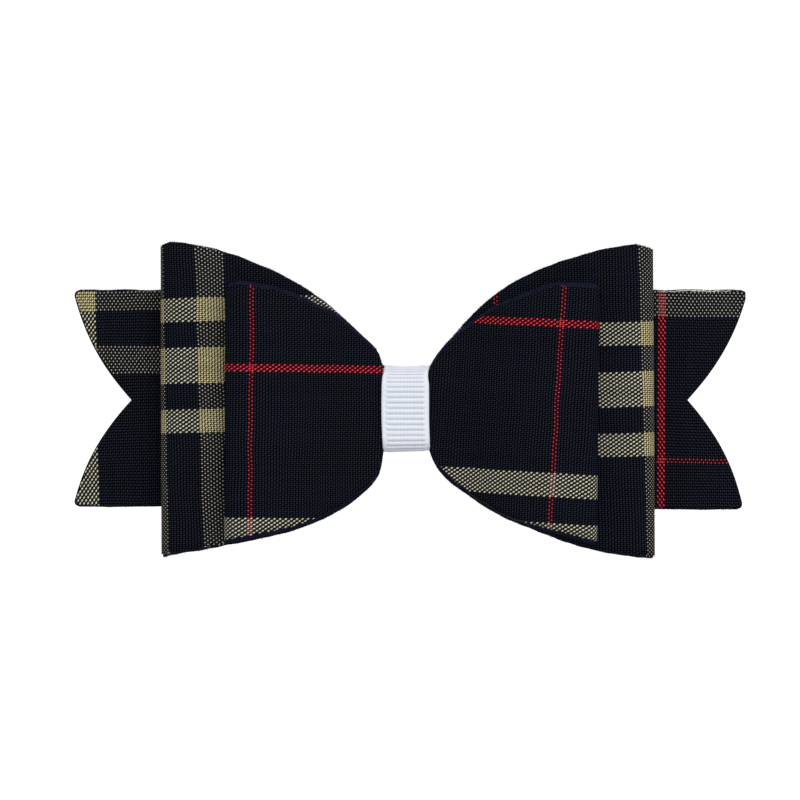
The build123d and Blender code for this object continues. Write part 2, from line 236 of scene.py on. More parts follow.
def tube(name, path, radius, sides=10, ply=0.0, ply_pitch=1.0):
    """A round cord along path; ply ripples it into two twisted strands."""
    path = np.asarray(path, dtype=float)
    count = len(path)
    ahead = np.gradient(path, axis=0)
    ahead /= np.linalg.norm(ahead, axis=1)[:, None]
    along = np.append(0, np.cumsum(np.linalg.norm(np.diff(path, axis=0), axis=1)))
    side = np.cross(ahead[0], (0.2, 0.9, 0.4))
    points, uvs = [], []
    for k in range(count):
        side -= ahead[k] * (side @ ahead[k])
        side /= np.linalg.norm(side)
        up = np.cross(ahead[k], side)
        for turn in range(sides):
            angle = 2 * math.pi * turn / sides
            size = radius * (1 + ply * math.cos(2 * (angle - 2 * math.pi * along[k] / ply_pitch)))
            points.append(path[k] + size * (math.cos(angle) * side + math.sin(angle) * up))
            uvs.append((along[k], radius * angle))
    faces = []
    for k in range(count - 1):
        here, ring = k * sides, (k + 1) * sides
        for turn in range(sides):
            after = (turn + 1) % sides
            faces.append((here + turn, here + after, ring + after, ring + turn))
    faces.append(tuple(range(sides))[::-1])
    faces.append(tuple((count - 1) * sides + turn for turn in range(sides)))
    return make_mesh(name, points, faces, np.array(uvs))


# ---------------------------------------------------------------- seams

def ease(u, lead):
    """Rises from 0 to 1 along two parabolas that meet at lead."""
    u = np.clip(u, 0, 1)
    return np.where(u < lead, u * u / lead, 1 - (1 - u) ** 2 / (1 - lead))


class Seam:
    """A glue line seen from above, sampled evenly, with its outward normals."""

    def __init__(self, xs, ys, sign, spacing=0.5):
        xs, ys = np.concatenate(xs), np.concatenate(ys)
        step = np.hypot(np.diff(xs), np.diff(ys))
        keep = np.append(True, step > 1e-6)
        xs, ys = xs[keep], ys[keep]
        along = np.append(0, np.cumsum(np.hypot(np.diff(xs), np.diff(ys))))
        self.length = along[-1]
        self.s = np.linspace(0, self.length, int(self.length / spacing))
        self.sign = sign
        self.x, self.y = np.interp(self.s, along, xs), np.interp(self.s, along, ys)
        dx, dy = np.gradient(self.x, self.s), np.gradient(self.y, self.s)
        size = np.hypot(dx, dy)
        self.nx, self.ny = -dy / size, dx / size

    def at(self, s, z, h):
        """Points in the row frame; x is mirrored here for the left half."""
        x = np.interp(s, self.s, self.x) + h * np.interp(s, self.s, self.nx)
        y = np.interp(s, self.s, self.y) + h * np.interp(s, self.s, self.ny)
        return np.stack([self.sign * x, y, z * np.ones_like(x)], axis=-1)


def loop_seam(sign, back_y, front_y, fold_x, fold_back_y, fold_front_y, back_flat_x, lead):
    """Back panel outwards, round the fold, and the front panel back to the middle."""
    fold_r = (fold_back_y - fold_front_y) / 2
    fold_start = fold_x - fold_r
    u = np.linspace(0, 1, 200)
    angle = np.linspace(0, math.pi, 120)
    back_x = back_flat_x + u * (fold_start - back_flat_x)
    front_x = fold_start + u * (FLARE_X - fold_start)
    xs = [[HALF_GAP, back_flat_x], back_x, fold_start + fold_r * np.sin(angle), front_x, [FLARE_X, HALF_GAP]]
    ys = [
        [back_y, back_y],
        back_y + (fold_back_y - back_y) * ease(u, 0.5),
        fold_back_y - fold_r * (1 - np.cos(angle)),
        fold_front_y + (front_y - fold_front_y) * ease(u, lead),
        [front_y, front_y],
    ]
    return Seam(xs, ys, sign)


def cad_loop_seam(side, size):
    """The seam inside a loop's CAD cloth, which the box of that node fixes."""
    layers_behind, lead, back_flat_x = LOOPS[size]
    low, high = cad(f"{side}_{size}_loop_cloth")
    fold_x = max(abs(low[0]), abs(high[0])) - CLOTH - FOLD_INSET
    back_y = STACK_BACK_Y - layers_behind * LAYER_STEP - CLOTH
    front_y = STACK_BACK_Y - (layers_behind + 2) * LAYER_STEP + CLOTH
    fold_front_y = low[1] + CLOTH
    fold_depth = high[1] - low[1] if size == "large" else 2 * SMALL_FOLD_R
    fold_back_y = fold_front_y + fold_depth - 2 * CLOTH
    return loop_seam(SIDES[side], back_y, front_y, fold_x, fold_back_y, fold_front_y, back_flat_x, lead)


def tail_seam(side):
    """A tail's seam: flat behind the wrap, leaning back behind the large loop's fold, then level."""
    low, high = cad(f"{side}_tail_backing")
    tip_x = max(abs(low[0]), abs(high[0]))
    seam_y = STACK_BACK_Y - FELT
    lean = high[1] - STACK_BACK_Y
    u = np.linspace(0, 1, 100)
    lean_x = CLIP_CLEAR_X + u * (TAIL_LEVEL_X - CLIP_CLEAR_X)
    xs = [[HALF_GAP, CLIP_CLEAR_X], lean_x, [TAIL_LEVEL_X, tip_x + 1]]
    ys = [[seam_y, seam_y], seam_y + lean * ease(u, 0.5), [seam_y + lean, seam_y + lean]]
    return Seam(xs, ys, SIDES[side])


# ---------------------------------------------------------------- outlines

def smooth_curve(points):
    """A monotone cubic through (x, z) points, as a function of x."""
    xs, zs = (np.array(v, dtype=float) for v in zip(*points))
    slope = np.diff(zs) / np.diff(xs)
    tangent = np.zeros(len(xs))
    tangent[0], tangent[-1] = slope[0], slope[-1]
    for k in range(1, len(xs) - 1):
        if slope[k - 1] * slope[k] > 0:
            tangent[k] = 2 * slope[k - 1] * slope[k] / (slope[k - 1] + slope[k])

    def value(x):
        k = np.clip(np.searchsorted(xs, x) - 1, 0, len(xs) - 2)
        width = xs[k + 1] - xs[k]
        t = np.clip((x - xs[k]) / width, 0, 1)
        return (
            (1 + 2 * t) * (1 - t) ** 2 * zs[k] + t * (1 - t) ** 2 * width * tangent[k]
            + t * t * (3 - 2 * t) * zs[k + 1] - t * t * (1 - t) * width * tangent[k + 1]
        )
    return value


# Top and bottom edge of each loop, as (x, z) points out from the middle
OUTLINES = {
    ("left", "large"): (
        smooth_curve([(0, 7.5), (4.9, 7.9), (5.3, 9.5), (9.1, 14.1), (17.1, 21.7), (29.1, 28.4),
                      (41.1, 32.2), (47.3, 33.0), (49.5, 32.1)]),
        smooth_curve([(0, -7.5), (4.9, -8.0), (5.3, -12.6), (9.1, -17.3), (14, -20.9),
                      (23.1, -24.7), (49.5, -29.9)]),
    ),
    ("right", "large"): (
        smooth_curve([(0, 7.5), (4.2, 7.8), (4.6, 8.4), (10.5, 15.9), (16.5, 21.8), (22.5, 25.8),
                      (30.5, 29.1), (38.5, 31.4), (45.7, 32.5), (48.9, 31.8)]),
        smooth_curve([(0, -7.5), (4.2, -8.0), (4.6, -9.4), (6.5, -12.9), (12.5, -17.9),
                      (20.5, -22.6), (40.5, -29.2), (49.5, -30.2)]),
    ),
    ("left", "small"): (
        smooth_curve([(0, 6.0), (4.9, 6.4), (5.3, 9.9), (9.1, 14.5), (13.1, 17.9), (19.5, 21.3),
                      (26.3, 23.9), (33.7, 25.0), (36.4, 24.2)]),
        smooth_curve([(0, -6.0), (4.9, -6.6), (5.3, -11.6), (9.1, -17.0), (14, -20.5),
                      (23.1, -24.3), (36.4, -26.9)]),
    ),
    ("right", "small"): (
        smooth_curve([(0, 6.0), (4.1, 6.4), (4.6, 8.4), (10.1, 15.2), (15.1, 18.9), (21.0, 21.9),
                      (30.7, 24.8), (36.6, 24.6), (38.1, 23.8)]),
        smooth_curve([(0, -6.0), (4.1, -6.6), (4.6, -9.0), (8.5, -14.5), (12.5, -17.6),
                      (20.5, -22.3), (38.1, -27.3)]),
    ),
}

# How much wider a loop gets for each millimetre up, as a share of x
LEAN = {
    ("left", "large"): 0.00006,
    ("right", "large"): -0.00012,
    ("left", "small"): -0.0001,
    ("right", "small"): 0.00028,
}

# Where each piece is cut from the cloth: its point (x, z) lies on the cloth's point (coarse, fine),
# and the cut is turned by so many degrees
Cut = namedtuple("Cut", "x z coarse fine turn")
PLAID_CUTS = {
    ("left", "large"): Cut(38.85, 8.5, 13.9, 0.0, 1.6),
    ("right", "large"): Cut(46.6, 3.7, -16.8, 0.0, -1.5),
    ("left", "small"): Cut(30.75, 8.0, 46.0, 43.2, -0.5),
    ("right", "small"): Cut(29.7, 0.0, 46.0, 26.4, 3.0),
    ("left", "tail"): Cut(62.9, 23.4, 0.0, 13.43, 1.0),
    ("right", "tail"): Cut(51.3, 35.1, 0.0, 43.2, 0.4),
}


def wobble(x, seed, size, scale):
    """Slow unevenness of a hand-cut edge."""
    offsets = [size * noise.noise(Vector((v * scale, seed, 0.5))) for v in np.ravel(x)]
    return np.array(offsets).reshape(np.shape(x))


# ---------------------------------------------------------------- textile pieces

def settle(points, loop):
    """The bow is not quite flat or square: panels belly out a little and folds lean."""
    x, y, z = (points[..., k].copy() for k in range(3))
    reach = np.clip((np.abs(x) - FLARE_X) / BELLY_LENGTH, 0, 1)
    y -= BELLY * np.sin(math.pi * reach) * (1 - (z / BELLY_HALF_Z) ** 2)
    x *= 1 + LEAN[loop] * (z - 1.0)
    return np.stack([x, y, z], axis=-1)


def loop_piece(side, size, seam, cut):
    """Cloth and backing of one loop, each with its grid of lengths along and up."""
    top, bottom = OUTLINES[side, size]
    seed = 3.0 * list(OUTLINES).index((side, size))
    share = np.linspace(0, 1, 34)
    top_inset, bottom_inset = CLOTH_INSET[size]
    made = {}
    for part, insets, h_out, h_in, bulge in (
        ("cloth", (top_inset, bottom_inset), CLOTH, GLUE_LINE, CLOTH_BULGE),
        ("backing", (FELT_BULGE, FELT_BULGE), 0.0, -FELT, FELT_BULGE),
    ):
        x = np.abs(seam.x)
        high = top(x) - insets[0] + wobble(seam.s, seed, 0.12 + 0.2 * insets[0], 0.45)
        low = bottom(x) + insets[1] + wobble(seam.s, seed + 9, 0.16, 0.4)
        z = low[:, None] + (high - low)[:, None] * share[None, :]
        s = np.repeat(seam.s[:, None], len(share), axis=1)
        outer = settle(seam.at(s, z, h_out), (side, size))
        inner = settle(seam.at(s, z, h_in), (side, size))
        uv = cloth_uv(seam, s, z, cut)
        obj = thin_solid(f"{side}_{size}_loop_{part}_sheet", outer, inner, uv, bulge)
        made[part] = {"obj": obj, "s": s, "z": z, "outer": outer, "inner": inner, "uv": uv}
    return made


def cloth_uv(seam, s, z, cut):
    """Cloth position in millimetres: turned by cut's angle about a point known on both."""
    ds, dz = turned(s - seam_s_at(seam, cut.x), z - cut.z, cut.turn)
    return np.stack([cut.coarse - seam.sign * ds, cut.fine + dz], axis=-1)


def turned(a, b, degrees):
    """The vector (a, b) seen in axes turned by that angle."""
    c, n = math.cos(math.radians(degrees)), math.sin(math.radians(degrees))
    return a * c + b * n, b * c - a * n


def seam_s_at(seam, x):
    """Where along the front panel the seam stands at |x|; beyond the fold x counts on round it."""
    front = seam.s > seam.s[np.argmax(seam.x)]
    xs, ss = seam.x[front][::-1], seam.s[front][::-1]
    return float(np.interp(x, xs, ss))


def tail_piece(side, seam, cut):
    """A tail: every row of the grid stops on its swallow-tail end."""
    low, high = cad(f"{side}_tail_cloth")
    tip_x = max(abs(low[0]), abs(high[0])) * TAIL_SPREAD
    row = np.linspace(-1, 1, 73)
    row = np.sign(row) * (1 - (1 - np.abs(row)) ** 1.3)     # closer together by the tips
    along = np.linspace(0, 1, 150)
    made = {}
    for part, inset, h_out, h_in, bulge in (
        ("cloth", TAIL_CLOTH_INSET, -CLOTH, -GLUE_LINE, CLOTH_BULGE),
        ("backing", FELT_BULGE, FELT, 0.0, FELT_BULGE),
    ):
        share = np.abs(row)
        chord_x = tip_x - TAIL_NOTCH_DEPTH + TAIL_NOTCH_DEPTH * share
        corner = np.clip((share - 1) / TAIL_CORNER + 1, 0, 1)
        rounding = TAIL_CORNER_R * (1 - np.sqrt(1 - corner ** 2))
        bulged = 4 * TAIL_END_BULGE * share * (1 - share) + TAIL_POINT * share ** 6
        end_x = chord_x + bulged - rounding - inset + TAIL_LEAN[side] * row
        x = HALF_GAP + along[:, None] * (end_x - HALF_GAP)[None, :]
        flare = np.clip((x - TAIL_WAIST_X) / (CLIP_CLEAR_X - TAIL_WAIST_X), 0, 1)
        flare = flare * (1.5 - 0.5 * flare)
        rise = high[2] * TAIL_SPREAD - inset - TAIL_WAIST_Z
        fall = low[2] * TAIL_SPREAD - TAIL_DROP[side] + inset + TAIL_WAIST_Z
        top = TAIL_WAIST_Z + rise * flare + wobble(x, 21.0, 0.16, 0.3)
        bottom = -TAIL_WAIST_Z + fall * flare + wobble(x, 23.0, 0.16, 0.3)
        middle = TAIL_NOTCH_Z * flare
        up = row[None, :] > 0
        z = middle + np.where(up, top - middle, middle - bottom) * row[None, :]
        s = np.interp(x, seam.x, seam.s)
        outer, inner = seam.at(s, z, h_out), seam.at(s, z, h_in)
        dx, dz = turned(x - cut.x, z - cut.z, -cut.turn)
        uv = np.stack([cut.coarse + dz, cut.fine - dx], axis=-1)
        obj = thin_solid(f"{side}_tail_{part}_sheet", outer, inner, uv, bulge)
        made[part] = {"obj": obj, "s": s, "z": z, "outer": outer, "inner": inner, "uv": uv}
    return made


# ---------------------------------------------------------------- materials

class Graph:
    """Builds a material's nodes: each method adds one node and returns its output."""

    def __init__(self, name):
        self.material = bpy.data.materials.new(name)
        self.material.use_nodes = True
        self.tree = self.material.node_tree
        self.tree.nodes.clear()
        self.shader = self.node("BsdfPrincipled")
        output = self.node("OutputMaterial")
        self.tree.links.new(self.shader.outputs[0], output.inputs[0])

    def node(self, kind):
        return self.tree.nodes.new("ShaderNode" + kind)

    def put(self, socket, value):
        if isinstance(value, bpy.types.NodeSocket):
            self.tree.links.new(value, socket)
        else:
            socket.default_value = value

    def math(self, operation, *values, clamp=False):
        node = self.node("Math")
        node.operation = operation
        node.use_clamp = clamp
        for socket, value in zip(node.inputs, values):
            self.put(socket, value)
        return node.outputs[0]

    def times(self, a, b):
        return self.math("MULTIPLY", a, b)

    def plus(self, a, b, clamp=False):
        return self.math("ADD", a, b, clamp=clamp)

    def mix(self, factor, a, b, blend="MIX"):
        node = self.node("Mix")
        node.data_type = "RGBA"
        node.blend_type = blend
        self.put(node.inputs[0], factor)
        self.put(node.inputs[6], a)
        self.put(node.inputs[7], b)
        return node.outputs[2]

    def remap(self, value, low, high, to_low=0.0, to_high=1.0, smooth=True):
        node = self.node("MapRange")
        node.interpolation_type = "SMOOTHSTEP" if smooth else "LINEAR"
        for socket, number in zip(node.inputs, (value, low, high, to_low, to_high)):
            self.put(socket, number)
        return node.outputs[0]

    def uv(self):
        node = self.node("UVMap")
        node.uv_map = "cloth_mm"
        split = self.node("SeparateXYZ")
        self.tree.links.new(node.outputs[0], split.inputs[0])
        return node.outputs[0], split.outputs[0], split.outputs[1]

    def place(self):
        return self.node("TexCoord").outputs["Object"]

    def noise(self, vector, scale, detail=2.0, rough=0.5):
        node = self.node("TexNoise")
        self.put(node.inputs["Vector"], vector)
        node.inputs["Scale"].default_value = scale
        node.inputs["Detail"].default_value = detail
        node.inputs["Roughness"].default_value = rough
        return node.outputs["Fac"]

    def random(self, value):
        node = self.node("TexWhiteNoise")
        node.noise_dimensions = "1D"
        self.put(node.inputs["W"], value)
        return node.outputs["Value"]

    def stretch(self, vector, scale):
        node = self.node("VectorMath")
        node.operation = "MULTIPLY"
        self.put(node.inputs[0], vector)
        node.inputs[1].default_value = scale
        return node.outputs[0]

    def bump(self, height, distance, strength=1.0):
        node = self.node("Bump")
        node.inputs["Strength"].default_value = strength
        node.inputs["Distance"].default_value = distance
        self.put(node.inputs["Height"], height)
        self.put(self.shader.inputs["Normal"], node.outputs[0])

    def paint(self, colour):
        self.put(self.shader.inputs["Base Color"], colour)

    def finish(self, roughness, specular, **sockets):
        self.shader.inputs["Roughness"].default_value = roughness
        self.shader.inputs["Specular IOR Level"].default_value = specular
        for name, value in sockets.items():
            self.shader.inputs[name.replace("_", " ")].default_value = value
        return self.material


# Yarn colours: in the shade between yarns, and on top of a yarn, where loose fibres catch the light
NAVY = ((0.0024, 0.0034, 0.0072, 1), (0.0250, 0.0290, 0.0450, 1))
NAVY_BY_RED = ((0.060, 0.0020, 0.0060, 1), (0.070, 0.0100, 0.0180, 1))
TAN = ((0.44, 0.35, 0.11, 1), (0.84, 0.76, 0.47, 1))
CREAM_COARSE = ((0.22, 0.19, 0.09, 1), (0.56, 0.545, 0.46, 1))
CREAM = ((0.30, 0.26, 0.12, 1), (0.76, 0.74, 0.61, 1))
RED = ((0.40, 0.002, 0.012, 1), (0.78, 0.075, 0.115, 1))
RED_DUSTY = ((0.24, 0.003, 0.014, 1), (0.52, 0.110, 0.145, 1))


def yarn_mask(graph, index, pitch, period, bars, red_yarns):
    """(is tan, is red) for the yarn of that index, from how far it lies from its group's centre."""
    centre = graph.times(graph.plus(index, 0.5), pitch)
    wrapped = graph.math("WRAP", centre, period / 2, -period / 2)
    away = graph.math("ABSOLUTE", wrapped)
    middle = graph.math("LESS_THAN", away, bars[0])
    past, short = graph.math("GREATER_THAN", away, bars[1]), graph.math("LESS_THAN", away, bars[2])
    outer = graph.times(past, short)
    tan = graph.plus(middle, outer, clamp=True)
    red = graph.math("GREATER_THAN", away, period / 2 - red_yarns * pitch / 2)
    return tan, red


def plaid_material():
    """Plain-woven cotton check: which yarn lies on top, its colour, its roundness and the pinholes."""
    graph = Graph("plaid_cotton")
    vector, u, v = graph.uv()
    sway = graph.times(graph.math("SUBTRACT", graph.noise(vector, 0.10, 1.0), 0.5), 0.6)
    u = graph.plus(u, sway)
    v = graph.plus(v, graph.times(sway, 0.7))
    across, along = graph.math("DIVIDE", u, COARSE_PITCH), graph.math("DIVIDE", v, FINE_PITCH)
    coarse_index, fine_index = graph.math("FLOOR", across), graph.math("FLOOR", along)
    turn_u, turn_v = graph.times(across, math.pi), graph.times(along, math.pi)
    cells = graph.times(graph.math("SINE", turn_u), graph.math("SINE", turn_v))
    corners = graph.times(graph.math("COSINE", turn_u), graph.math("COSINE", turn_v))
    lift = graph.plus(graph.plus(cells, graph.times(corners, 0.20)), 0.22)
    on_top = graph.remap(lift, -0.05, 0.05)
    fine_round = graph.remap(lift, 0.10, 1.02)
    coarse_round = graph.remap(graph.times(lift, -1.0), 0.10, 0.70)
    roundness = graph.math("MAXIMUM", fine_round, coarse_round)
    pinhole = graph.remap(graph.times(corners, -1.0), 0.30, 0.80)

    coarse_tan, coarse_red = yarn_mask(
        graph, coarse_index, COARSE_PITCH, COARSE_PERIOD, COARSE_BARS, COARSE_RED)
    fine_tan, fine_red = yarn_mask(graph, fine_index, FINE_PITCH, FINE_PERIOD, FINE_BARS, FINE_RED)
    fibre = graph.noise(graph.stretch(vector, (3.0, 3.0, 1.0)), 2.0, 3.0, 0.6)
    sheen = graph.times(roundness, graph.remap(fibre, 0.2, 0.75, 0.55, 1.0))

    def yarn(colours):
        return graph.mix(sheen, *colours)

    red_near = graph.plus(coarse_red, fine_red, clamp=True)
    navy = graph.mix(red_near, yarn(NAVY), yarn(NAVY_BY_RED))
    tan_both = graph.times(coarse_tan, fine_tan)
    coarse_light = graph.mix(tan_both, yarn(CREAM_COARSE), yarn(TAN))
    fine_light = graph.mix(tan_both, yarn(CREAM), yarn(TAN))
    coarse_bright = graph.mix(fine_red, yarn(RED_DUSTY), yarn(RED))
    coarse_colour = graph.mix(coarse_red, graph.mix(coarse_tan, navy, coarse_light), coarse_bright)
    fine_colour = graph.mix(fine_red, graph.mix(fine_tan, navy, fine_light), yarn(RED))
    colour = graph.mix(on_top, coarse_colour, fine_colour)

    crown = graph.math("POWER", roundness, 1.3)
    shade = graph.times(graph.remap(crown, 0.0, 1.0, 0.06, 1.0, False),
                       graph.remap(pinhole, 0.0, 1.0, 1.0, 0.08, False))
    slub = graph.math("MULTIPLY_ADD", graph.random(fine_index), 0.18, 0.86)
    shade = graph.times(shade, slub)
    graph.paint(graph.mix(1.0, colour, shade, "MULTIPLY"))
    height = graph.plus(roundness, graph.times(fibre, 0.25))
    graph.bump(height, 0.09 * MM, 0.6)
    return graph.finish(0.85, 0.01)


def felt_material():
    """Needled navy felt: matted fibres, a little lint, darker where it is pressed."""
    graph = Graph("navy_felt")
    place = graph.place()
    mat = graph.noise(place, 2600.0, 4.0, 0.7)
    clumps = graph.noise(place, 420.0, 3.0, 0.6)
    lint = graph.remap(graph.noise(graph.stretch(place, (1.0, 1.0, 2.2)), 1500.0, 1.0), 0.70, 0.78)
    matted = graph.times(mat, clumps)
    colour = graph.mix(matted, (0.0035, 0.0045, 0.0100, 1), (0.020, 0.027, 0.056, 1))
    colour = graph.mix(graph.times(lint, 0.35), colour, (0.05, 0.07, 0.12, 1))
    graph.paint(colour)
    graph.bump(graph.plus(mat, graph.times(clumps, 1.5)), 0.16 * MM, 0.9)
    return graph.finish(0.95, 0.02)


def grosgrain_material():
    """Bright white polyester: ribs across the ribbon, fine warp lines on them, plain selvedges, and painted
    shade in the grooves between the ribs.
    """
    graph = Graph("white_grosgrain")
    vector, along, across = graph.uv()
    fine = graph.math("SINE", graph.times(across, 2 * math.pi / WARP_PITCH))
    groove = graph.math("COSINE", graph.times(along, 2 * math.pi / RIB_PITCH))
    inside = graph.remap(graph.math("ABSOLUTE", across), SELVEDGE_AT, SELVEDGE_AT - 0.2)
    fibre = graph.noise(graph.stretch(vector, (1.2, 6.0, 1.0)), 1.5, 3.0, 0.6)
    # Painted shade: the colour is darkened in the grooves between the ribs, broken up by the warp lines.
    dip = graph.times(graph.remap(groove, -0.1, 1.0), inside)
    ragged = graph.times(dip, graph.math("MULTIPLY_ADD", fine, 0.22, 0.78))
    past_selvedge = graph.math("SUBTRACT", graph.math("ABSOLUTE", across), SELVEDGE_AT)
    wave = graph.math("COSINE", graph.times(past_selvedge, 9.0))
    stitch = graph.times(graph.remap(wave, 0.75, 1.0), 0.22)
    groove_shade_and_stitch = graph.plus(ragged, stitch)
    tone = graph.math("SUBTRACT", graph.math("MULTIPLY_ADD", fibre, 0.3, 0.85), groove_shade_and_stitch, clamp=True)
    colour = graph.mix(tone, (0.50, 0.53, 0.63, 1), (0.78, 0.81, 0.88, 1))
    graph.paint(colour)
    height = graph.plus(graph.times(fine, 0.3), fibre)
    graph.bump(height, 0.05 * MM, 0.7)
    return graph.finish(0.6, 0.15)


def metal_material(name, colour, roughness, scratch):
    """Plated steel with drawing lines along the part and a few handling marks."""
    graph = Graph(name)
    place = graph.place()
    lines = graph.noise(graph.stretch(place, (0.12, 1.0, 1.0)), 3800.0, 3.0, 0.6)
    smears = graph.noise(place, 260.0, 4.0, 0.6)
    rough = graph.plus(graph.times(lines, scratch), graph.times(smears, 0.18))
    graph.put(graph.shader.inputs["Roughness"], graph.plus(rough, roughness))
    dull = tuple(0.72 * c for c in colour[:3]) + (1,)
    graph.paint(graph.mix(graph.times(smears, 0.5), colour, dull))
    graph.bump(lines, 0.01 * MM, 0.4)
    graph.shader.inputs["Metallic"].default_value = 1.0
    return graph.material


def glue_material():
    """Cloudy hot-melt glue."""
    graph = Graph("hot_melt_glue")
    cloud = graph.noise(graph.place(), 500.0, 3.0)
    colour = graph.mix(cloud, (0.72, 0.70, 0.60, 1), (0.86, 0.85, 0.78, 1))
    graph.paint(colour)
    graph.bump(cloud, 0.1 * MM, 0.5)
    return graph.finish(0.35, 0.5, Subsurface_Weight=0.3)


def thread_material():
    """Polyester sewing thread: a soft shine and fine fibre lines."""
    graph = Graph("navy_thread")
    fibre = graph.noise(graph.stretch(graph.place(), (1.0, 3.0, 3.0)), 3000.0, 2.0)
    graph.paint(graph.mix(fibre, NAVY[0], (0.03, 0.035, 0.055, 1)))
    graph.bump(fibre, 0.02 * MM, 0.5)
    return graph.finish(0.45, 0.3)


def fray_material():
    """Loose yarn ends: the coarse yarn's colour, with no crossing yarn over it."""
    graph = Graph("frayed_yarn")
    vector, u, v = graph.uv()
    index = graph.math("FLOOR", graph.math("DIVIDE", u, COARSE_PITCH))
    tan, red = yarn_mask(graph, index, COARSE_PITCH, COARSE_PERIOD, COARSE_BARS, COARSE_RED)
    fluff = graph.noise(graph.place(), 4000.0, 2.0)
    colour = graph.mix(red, graph.mix(tan, NAVY[1], CREAM[1]), RED_DUSTY[1])
    shade = graph.remap(fluff, 0.2, 0.9, 0.6, 1.0)
    graph.paint(graph.mix(1.0, colour, shade, "MULTIPLY"))
    return graph.finish(0.9, 0.1)


plaid = plaid_material()
felt = felt_material()
grosgrain = grosgrain_material()
fray = fray_material()
thread = thread_material()
nickel = metal_material("nickel_plate", (0.60, 0.585, 0.56, 1), 0.12, 0.12)
spring_wire = metal_material("spring_wire", (0.52, 0.51, 0.50, 1), 0.24, 0.2)
glue = glue_material()


def dress(obj, material, body, slot, *nodes):
    """Material, body, slot (not used) and the CAD nodes that a piece stands for."""
    obj.data.materials.clear()
    obj.data.materials.append(material)
    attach(obj, body)
    if nodes:
        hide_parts(*nodes)


def dress_sheet(side, kind, part, facts):
    """Cloth or felt: its material and its node."""
    material, slot = {"cloth": (plaid, "plaid_cloth"), "backing": (felt, "navy_felt")}[part]
    dress(facts["obj"], material, "bow", slot, f"{side}_{kind}_{part}")


def edge_strands(name, facts, per_mm, length, radius, spread, material, slot):
    """Fibres standing out of a sheet's top and bottom edges."""
    face, other, uv = facts["outer"], facts["inner"], facts["uv"]
    roots, tips, radii, uvs = [], [], [], []
    for edge, inside in ((-1, -2), (0, 1)):
        line, under, behind = face[:, edge], other[:, edge], face[:, inside]
        steps = np.linalg.norm(np.diff(line, axis=0), axis=1)
        total = steps.sum()
        at = np.append(0, np.cumsum(steps))
        for _ in range(int(total * per_mm)):
            k = float(np.interp(random.random() * total, at, np.arange(len(at))))
            i = min(int(k), len(line) - 2)
            part, depth = k - i, random.random()
            top_point = line[i] * (1 - part) + line[i + 1] * part
            low_point = under[i] * (1 - part) + under[i + 1] * part
            root = top_point * (1 - depth) + low_point * depth
            away = line[i] - behind[i]
            away /= np.linalg.norm(away)
            tangent = (line[i + 1] - line[i]) / max(steps[i], 1e-6)
            through = (top_point - low_point) / max(np.linalg.norm(top_point - low_point), 1e-6)
            lean = away + spread * (random.gauss(0, 1) * tangent + random.gauss(0, 0.5) * through)
            size = length * random.uniform(0.3, 1.0) ** 1.5
            roots.append(root - away * STRAND_ROOT)
            tips.append(root + lean / np.linalg.norm(lean) * size)
            radii.append(radius * random.uniform(0.7, 1.2))
            uvs.append(uv[i, edge])
    dress(strands(name, roots, tips, radii, uvs), material, "bow", slot)


def loops_and_tails():
    """Six laminates, each with the fuzz of its felt and the frayed yarn ends of its cloth."""
    tan_yarn, navy_yarn = (0.0, 0.0), (30.0, 0.0)      # places on the cloth with yarns of those colours
    for side in SIDES:
        pieces = {}
        for size in LOOPS:
            pieces[f"{size}_loop"] = loop_piece(side, size, cad_loop_seam(side, size), PLAID_CUTS[side, size])
        pieces["tail"] = tail_piece(side, tail_seam(side), PLAID_CUTS[side, "tail"])
        for kind, made in pieces.items():
            for part in ("cloth", "backing"):
                dress_sheet(side, kind, part, made[part])
            edge_strands(f"{side}_{kind}_felt_fuzz", made["backing"], per_mm=13.0, length=0.60, radius=0.018,
                         spread=0.9, material=felt, slot="navy_felt")
            edge_strands(f"{side}_{kind}_yarn_ends", made["cloth"], per_mm=2.2, length=0.55, radius=0.055,
                         spread=0.35, material=fray, slot="plaid_cloth")
        if side == "right":
            tail, small = pieces["tail"]["cloth"], pieces["small_loop"]["cloth"]
            loose_yarns("right_tail_loose_yarn", tail, -1, (0.74, 0.97), 7, tan_yarn, 0.0)
            loose_yarns("right_small_loose_yarn", small, 0, (0.62, 0.85), 4, navy_yarn, 0.3)


def loose_yarns(name, facts, row, reach, count, yarn_place, droop):
    """Yarns that have slipped off a cut edge and lie along it, between two shares of its length."""
    edge = facts["outer"][:, row]
    stations, knots = len(edge), 14
    for number in range(count):
        start = random.uniform(reach[0], reach[1] - 0.03)
        end = min(start + random.uniform(0.03, 0.09), reach[1])
        picks = np.linspace(start, end, knots) * (stations - 1)
        low = picks.astype(int)
        part = (picks - low)[:, None]
        line = edge[low] * (1 - part) + edge[np.minimum(low + 1, stations - 1)] * part
        wander = np.array([noise.noise(Vector((k * 0.35, number, 3.0))) for k in range(knots)])
        line[:, 2] += np.sign(line[:, 2]) * (0.05 + 0.35 * wander) - droop * np.linspace(0, 1, knots) ** 2
        line[:, 1] -= 0.08
        obj = tube(f"{name}_{number}", line, radius=0.075, sides=6, ply=0.15, ply_pitch=0.7)
        layer = obj.data.uv_layers["cloth_mm"].data
        layer.foreach_set("uv", np.tile(np.array(yarn_place, dtype=np.float32), len(obj.data.loops)))
        dress(obj, fray, "bow", "plaid_cloth")


loops_and_tails()


# ---------------------------------------------------------------- wrap

